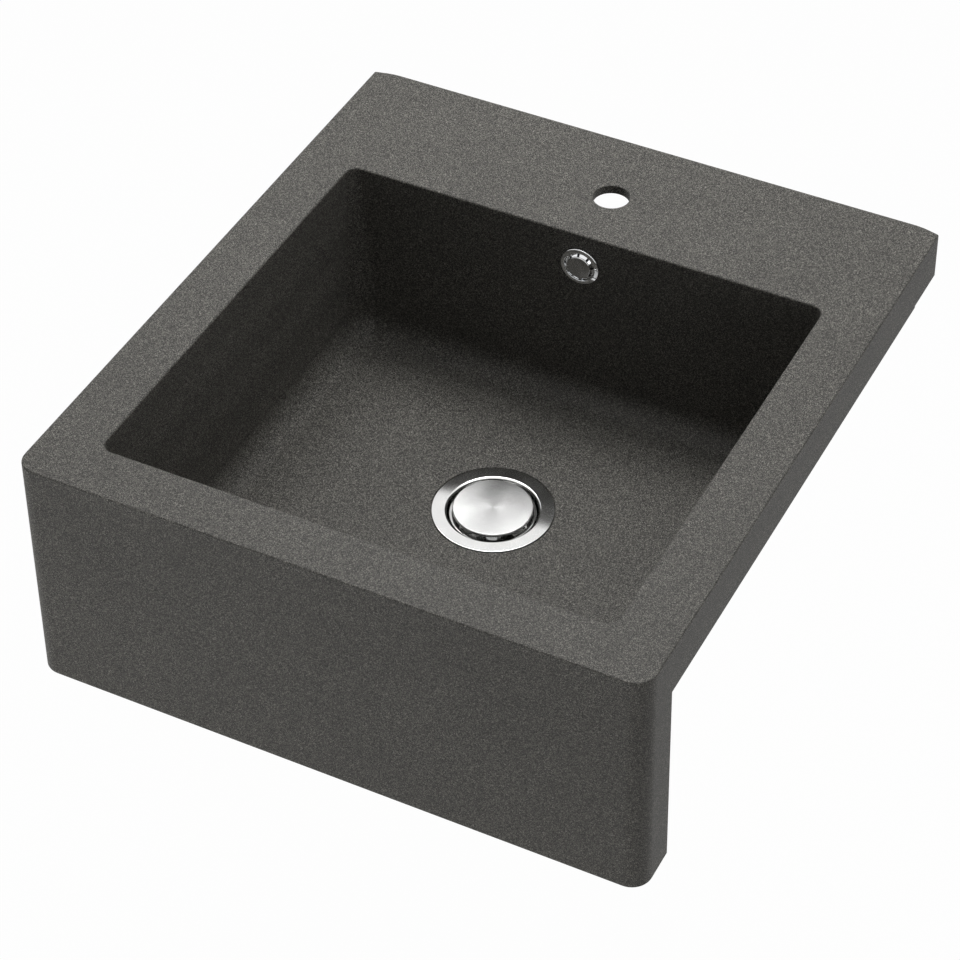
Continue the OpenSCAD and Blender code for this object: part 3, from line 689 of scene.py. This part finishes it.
def lowEdge(corners):
    # whether an edge runs along the foot of the apron, a return or a skirt
    s = moulding
    foot = any(level(corners, z) for z in (s["apron"], s["skirt"], s["rearSkirt"]))
    behind = all(abs(c.y - s["returnY"]) < near for c in corners)
    inside = behind and level(corners, s["skirt"])
    return (foot or (behind and upright(corners))) and not inside


def mouldingBlock():
    # the deck and the apron, hollow underneath, with a thin round along every foot
    s = moulding
    wall = s["wall"]
    sink = upended("sinkMoulding", mouldingOutline(), s["apron"], 0)
    with editing(sink):
        pick("VERT", lambda c: c[0].z < s["apron"] / 2)
        widen = (s["footHalf"] / s["topHalf"], 1, 1)
        bpy.ops.transform.resize(value=widen, center_override=(0, 0, 0))
        pick("EDGE", lambda c: level(c, 0))
        bevel(*s["topRound"])

    below = s["apron"] - s["beyond"]
    hollow = block("hollow", (wall - s["topHalf"], s["topHalf"] - wall),
                   (s["front"] + wall, s["rear"] - wall), (below, -wall))
    with editing(hollow):
        pick("EDGE", lambda c: upright(c) and c[0].y < s["bowlRear"])
        bevel(s["frontRadius"] - wall, s["frontSteps"])
        pick("EDGE", lambda c: upright(c) and c[0].y > s["bowlRear"])
        bevel(*s["innerRearRound"])
    combine(sink, hollow)
    wide = (-s["footHalf"] - s["beyond"], s["footHalf"] + s["beyond"])
    behind = s["rear"] + s["beyond"]
    combine(sink, block("behindApron", wide, (s["returnY"], behind), (below, s["skirt"])))
    combine(sink, block("underRear", wide, (s["stepY"], behind), (below, s["rearSkirt"])))
    with editing(sink):
        pick("EDGE", lowEdge)
        bevel(*s["footRound"])
    return sink


def addBowl(sink):
    # its shell is joined on, and its space is cut out with a round along the rim
    s = moulding
    wall = s["wall"]
    middle = (s["bowlFront"] + s["bowlRear"]) / 2
    combine(sink, stacked("bowlShell", middle, bowlLoops(wall, -wall / 2)), "UNION")
    rim, steps = s["rimRound"]
    inside = bowlLoops(0, -rim)
    flare = []
    for k in range(1, steps + 1):
        angle = pi / 2 * k / steps
        out = rim * (1 - cos(angle))
        flare.insert(0, (rim * (sin(angle) - 1), *(size + out for size in inside[0][1:])))
    above = (wall, *flare[0][1:])
    combine(sink, stacked("bowlSpace", middle, [above] + flare + inside, s["cornerSteps"]))


def cutHoles(sink):
    # for the tap, the drain with its seat, and the overflow
    s = moulding
    drain = (0, s["drainY"], s["floor"])
    seat = (0, s["drainY"], s["floor"] + s["seatCut"] / 2 - s["seatDepth"])
    rear = (0, s["bowlRear"], s["overflowZ"])
    sides = s["drainSides"]
    combine(sink, rod("tapHole", (0, 0, 0), s["tapRadius"], s["tapCut"]))
    combine(sink, rod("drainHole", drain, s["drainRadius"], s["drainCut"], sides=sides))
    combine(sink, rod("drainSeat", seat, s["seatRadius"], s["seatCut"], sides=sides))
    combine(sink, rod("overflowHole", rear, s["overflowRadius"], s["overflowCut"],
                      (pi / 2, 0, 0)))
    with editing(sink):
        pick("EDGE", lambda c: onCircle(c, 0, 0, s["tapRadius"]))
        bevel(*s["tapRound"])
        pick("EDGE", lambda c: onCircle(c, s["floor"], s["drainY"], s["seatRadius"]))
        bevel(*s["seatRound"])


def makeMoulding():
    sink = mouldingBlock()
    addBowl(sink)
    cutHoles(sink)
    smooth(sink, moulding["smoothAngle"], weighted=True)
    finish(sink, "root", "quartz", "quartz_composite", "sink_casting")


makeMoulding()
print("moulding is made")


# What is turned round the drain shares its centre and the number of steps
drainPlace = (0, moulding["drainY"], 0)
drainSteps = 144

# Strainer cup, with its flange, rounded lip and drain holes
cup = {
    "flangeRadius": 57.5, "flangeTop": -192.5, "flangeRound": 0.6, "sheet": 1,
    "mouth": 43, "lip": 2.4, "dish": 0.05, "floor": -233, "floorRadius": 40, "floorRound": 4,
    "dimple": -240, "dimpleRadius": 12, "dimpleSlope": 1.5, "screwHole": 6.1,
    # roundings at the top and the foot of the dimple, inside and outside
    "dimpleTop": (1.5, 1), "dimpleFoot": (1.2, 1.5),
    "holes": 12, "holeCircle": 20, "holeRadius": 3.5, "holeCut": 12, "holeSides": 32,
    "smoothAngle": 40,
}


def makeCup():
    s = cup
    t, top, low, dimple = s["sheet"], s["flangeTop"], s["floor"], s["dimple"]
    mouthTop = top - s["dish"]
    foot = s["dimpleRadius"] - s["dimpleSlope"]
    upper = [(s["flangeRadius"], top, s["flangeRound"]), (s["mouth"], mouthTop, s["lip"])]
    inside = [(s["floorRadius"], low, s["floorRound"]),
              (s["dimpleRadius"], low, s["dimpleTop"][0]), (foot, dimple, s["dimpleFoot"][0]),
              (s["screwHole"], dimple, 0)]
    outside = [(s["screwHole"], dimple - t, 0), (foot + t, dimple - t, s["dimpleFoot"][1]),
               (s["dimpleRadius"] + t, low - t, s["dimpleTop"][1]),
               (s["floorRadius"] + t, low - t, s["floorRound"] + t),
               (s["mouth"] + t, mouthTop - t, s["lip"] - t), (s["flangeRadius"], top - t, 0)]
    outline = softened(upper + inside + outside)
    piece = turned("strainerCup", outline, drainSteps, drainPlace)
    for k in range(s["holes"]):
        angle = 2 * pi * k / s["holes"]
        place = (s["holeCircle"] * cos(angle), drainPlace[1] + s["holeCircle"] * sin(angle), low)
        hole = rod("drainSlot", place, s["holeRadius"], s["holeCut"], sides=s["holeSides"])
        combine(piece, hole)
    smooth(piece, s["smoothAngle"], weighted=True)
    finish(piece, "root", "cup", "cup_steel", "strainer_cup")


makeCup()
print("cup is made")


# Round cover over the drain, with its turned-down edge
cover = {
    "radius": 37.75, "top": -189.7, "edge": 3.2, "sheet": 1.2, "crown": 0.02, "crownShare": 0.7,
    "round": 0.9, "edgeRound": 0.3, "innerRound": 0.4, "smoothAngle": 35,
}


def makeCover():
    s = cover
    r, t, top = s["radius"], s["sheet"], s["top"]
    low = top - s["edge"]
    outline = [(0, top, 0), (r * s["crownShare"], top - s["crown"] / 2, 0),
               (r, top - s["crown"], s["round"]), (r, low, s["edgeRound"]),
               (r - t, low, s["edgeRound"]), (r - t, top - t, s["innerRound"]), (0, top - t, 0)]
    piece = turned("drainCover", softened(outline), drainSteps, drainPlace)
    smooth(piece, s["smoothAngle"], weighted=True)
    finish(piece, "cover", "cover", "cover_steel", "drain_cover")


makeCover()
print("cover is made")


# Lift-out basket with its flat rim and slots
basket = {
    "rimRadius": 40.8, "rimTop": -196.5, "rimWidth": 3.2, "rimRound": 0.3,
    "mouthRound": 1.0, "mouthUnder": 0.4, "floor": -221.5, "floorRadius": 33, "floorRound": 1.6,
    "sheet": 0.8, "stemHole": 4.2,
    "slots": 24, "slotWidth": 2.4, "slotMargin": 5, "slotReach": 4, "slotRound": (1.08, 3),
    "smoothAngle": 40,
}


def makeBasket():
    s = basket
    t, top, low = s["sheet"], s["rimTop"], s["floor"]
    rim, floor = s["rimRadius"], s["floorRadius"]
    mouth = rim - s["rimWidth"]
    outline = [(rim, top, s["rimRound"]), (mouth, top, s["mouthRound"]),
               (floor, low, s["floorRound"]), (s["stemHole"], low, 0), (s["stemHole"], low - t, 0),
               (floor + t, low - t, s["floorRound"] + t), (mouth + t, top - t, s["mouthUnder"]),
               (rim, top - t, s["rimRound"])]
    piece = turned("basketShell", softened(outline), drainSteps, drainPlace)
    half, margin = s["slotWidth"] / 2, s["slotMargin"]
    for k in range(s["slots"]):
        slot = block("slot", (floor - s["slotReach"], rim + s["slotReach"]), (-half, half),
                     (low + margin, top - margin))
        with editing(slot):
            pick("EDGE", lambda c: abs(c[0].x - c[1].x) > near)
            bevel(*s["slotRound"])
        settle(slot, drainCentre, (0, 0, 2 * pi * k / s["slots"]))
        combine(piece, slot)
    smooth(piece, s["smoothAngle"])
    finish(piece, "basket", "basket", "basket_steel", "strainer_basket")


makeBasket()
print("basket is made")


# Overflow: its axis points to the front, and heights along it start where the gasket sits
overflow = {"centre": (0, -66.49, -35), "axis": (0, -1, 0), "steps": 96, "smoothAngle": 35}

# The ring with its channel, slotted cone and hub
trim = {
    "gasket": 0.8, "holeFit": 14.9, "sheet": 1, "sheetShift": 1 / 3,
    "ringRadius": 19.6, "ringInner": 15.7, "ringTop": 3.2, "ringFall": 0.6,
    "outerRound": 0.7, "innerRound": 0.5,
    "channelRadius": 14.6, "channelTop": 0.8, "channelRound": 0.4,
    "coneFoot": 13.6, "coneTop": 11.4, "coneHeight": 3.0, "footRound": 0.3, "topRound": 0.5,
    "hubRadius": 7.2, "hubSeat": -0.5, "hubRound": 0.4, "seatRound": 0.3, "seatUnder": 0.5,
    "under": 0.2, "screwHole": 2.6,
    "slots": 8, "slotWidth": 2.4, "slotTurn": 7.5, "slotInner": 10.6, "slotOuter": 13.8,
    "slotCut": 20,
}


def makeTrim():
    s = trim
    t, gasket, channel, cone = s["sheet"], s["gasket"], s["channelTop"], s["coneHeight"]
    hub, seat, shift, under = s["hubRadius"], s["hubSeat"], s["sheetShift"], s["under"]
    front = [(s["ringRadius"], gasket, 0),
             (s["ringRadius"], s["ringTop"] - s["ringFall"], s["outerRound"]),
             (s["ringInner"], s["ringTop"], s["innerRound"]),
             (s["channelRadius"], channel, s["channelRound"]),
             (s["coneFoot"], channel, s["footRound"]), (s["coneTop"], cone, s["topRound"]),
             (hub, cone, s["hubRound"]), (hub, seat, s["seatRound"]), (s["screwHole"], seat, 0)]
    back = [(s["screwHole"], seat - t, 0), (hub + t, seat - t, s["seatUnder"]),
            (hub + t, cone - t, under), (s["coneTop"] - shift, cone - t, under),
            (s["coneFoot"] - shift, channel - t, under), (s["holeFit"], channel - t, 0),
            (s["holeFit"], gasket, 0)]
    ring = turned("overflowTrim", softened(front + back), overflow["steps"], overflow["centre"],
                  overflow["axis"])
    half = s["slotWidth"] / 2
    place = Vector(overflow["centre"]) * mm
    for k in range(s["slots"]):
        slot = block("trimSlot", (s["slotInner"], s["slotOuter"]), (-s["slotCut"], s["slotCut"]),
                     (-half, half))
        settle(slot, place, (0, -radians(s["slotTurn"]) - 2 * pi * k / s["slots"], 0))
        combine(ring, slot)
    smooth(ring, overflow["smoothAngle"], weighted=True)
    finish(ring, "root", "trim", "overflow_chrome", "overflow_ring")


# The disc in front of the ring, with a boss that the screw holds
disc = {
    "radius": 12, "top": 4.8, "thickness": 1.8, "topRound": 0.9, "lowRound": 0.4,
    "bossRadius": 5.4, "bossFoot": -0.5, "bossRound": 0.2, "screwHead": 4.1, "headRoom": 2.8,
}


def makeDisc():
    s = disc
    r, boss, head = s["radius"], s["bossRadius"], s["screwHead"]
    top, foot = s["top"], s["bossFoot"]
    low, room = top - s["thickness"], foot + s["headRoom"]
    outline = [(0, top, 0), (r, top, s["topRound"]), (r, low, s["lowRound"]),
               (boss, low, s["bossRound"]), (boss, foot, s["bossRound"]), (head, foot, 0),
               (head, room, 0), (0, room, 0)]
    piece = turned("overflowDisc", softened(outline), overflow["steps"], overflow["centre"],
                   overflow["axis"])
    smooth(piece, overflow["smoothAngle"], weighted=True)
    finish(piece, "root", "disc", "overflow_chrome", "overflow_button")


makeTrim()
makeDisc()
print("overflow trim is made")


# The solids that stay get their finishes
nodeFinishes = {
    "gasket": ["flange_gasket", "body_gasket", "screw_washer", "rim_gasket", "rear_gasket",
               "upper_cone_washer", "lower_cone_washer"],
    "seal": ["basket_seal", "stem_ring"],
    "waste": ["waste_body", "overflow_elbow", "upper_hose_nut", "lower_hose_nut"],
    "brass": ["insert_nut", "elbow_insert"],
    "screw": ["fixing_screw", "seal_washer", "stem_clip", "overflow_screw"],
    "stem": ["basket_stem"],
    "hub": ["cover_hub"],
}
for name, nodes in nodeFinishes.items():
    for node in nodes:
        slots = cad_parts[node].data.materials
        slots.clear()
        slots.append(finishes[name])
print("solids have their finishes")


# Floor, light and backdrop, in metres and watts
studio = {
    "floorHeight": -0.9, "floorSize": 40, "floorColour": (0.86, 0.86, 0.86, 1),
    "white": (1, 1, 1, 1), "whiteShare": 0.98, "worldLevel": 0.05, "aim": (0, -0.25, -0.1),
    "lamps": [
        {"name": "topBox", "place": (0, 0.3, 2.2), "size": 1.0, "power": 11.5},
        {"name": "overBox", "place": (-0.15, 0.3, 1.35), "size": 0.6, "power": 3},
        {"name": "upperLeftBox", "place": (-0.85, 0.75, 2.0), "size": 1.0, "power": 18},
        {"name": "upperRightBox", "place": (1.0, 0.1, 1.6), "size": 0.8, "power": 3},
        {"name": "rightBox", "place": (1.9, -1.6, 0.3), "size": 1.4, "power": 3.3},
        {"name": "lowFrontBox", "place": (-0.9, -2.2, -0.45), "size": 1.0, "power": 8},
    ],
}


def sightRays(f):
    # 1 for what the camera sees, straight, mirrored or through glass, and 0 for the light on
    # the object
    names = ("Is Camera Ray", "Is Glossy Ray", "Is Transmission Ray")
    seen, mirrored, through = (f.add("LightPath", out=name) for name in names)
    return f.add("Math", {"operation": "MINIMUM"}, {0: seen + mirrored + through, 1: 1})


def makeFloor():
    # white to the camera, matt to the light, and clear from below
    s = studio
    deselectAll()
    bpy.ops.mesh.primitive_plane_add(size=s["floorSize"], location=(0, 0, s["floorHeight"]))
    floor = bpy.context.object
    floor.name = "studioFloor"
    material, f = newMaterial("paleFloor")
    fromBelow = f.add("NewGeometry", out="Backfacing")
    matt = f.add("BsdfDiffuse", {}, {"Color": s["floorColour"]})
    white = f.add("Emission", {}, {"Color": s["white"], "Strength": 1})
    shown = f.add("MixShader", {}, {0: sightRays(f) * s["whiteShare"], 1: matt, 2: white})
    clear = f.add("BsdfTransparent")
    surface = f.add("MixShader", {}, {0: fromBelow, 1: shown, 2: clear})
    f.add("OutputMaterial", {}, {"Surface": surface})
    floor.data.materials.append(material)


def makeWorld():
    s = studio
    world = bpy.data.worlds.new("studioWorld")
    bpy.context.scene.world = world
    world.use_nodes = True
    f = Finish(world.node_tree)
    strength = s["worldLevel"] + sightRays(f) * (1 - s["worldLevel"])
    sky = f.add("Background", {}, {"Color": s["white"], "Strength": strength})
    f.add("OutputWorld", {}, {"Surface": sky})


def makeLamps():
    for lamp in studio["lamps"]:
        place = Vector(lamp["place"])
        turn = (Vector(studio["aim"]) - place).to_track_quat("-Z", "Y").to_euler()
        deselectAll()
        bpy.ops.object.light_add(type="AREA", location=place, rotation=turn)
        light = bpy.context.object
        light.name = lamp["name"]
        light.data.size = lamp["size"]
        light.data.energy = lamp["power"]


makeFloor()
makeWorld()
makeLamps()
bpy.context.scene.view_settings.view_transform = "Standard"
print("studio is lit")
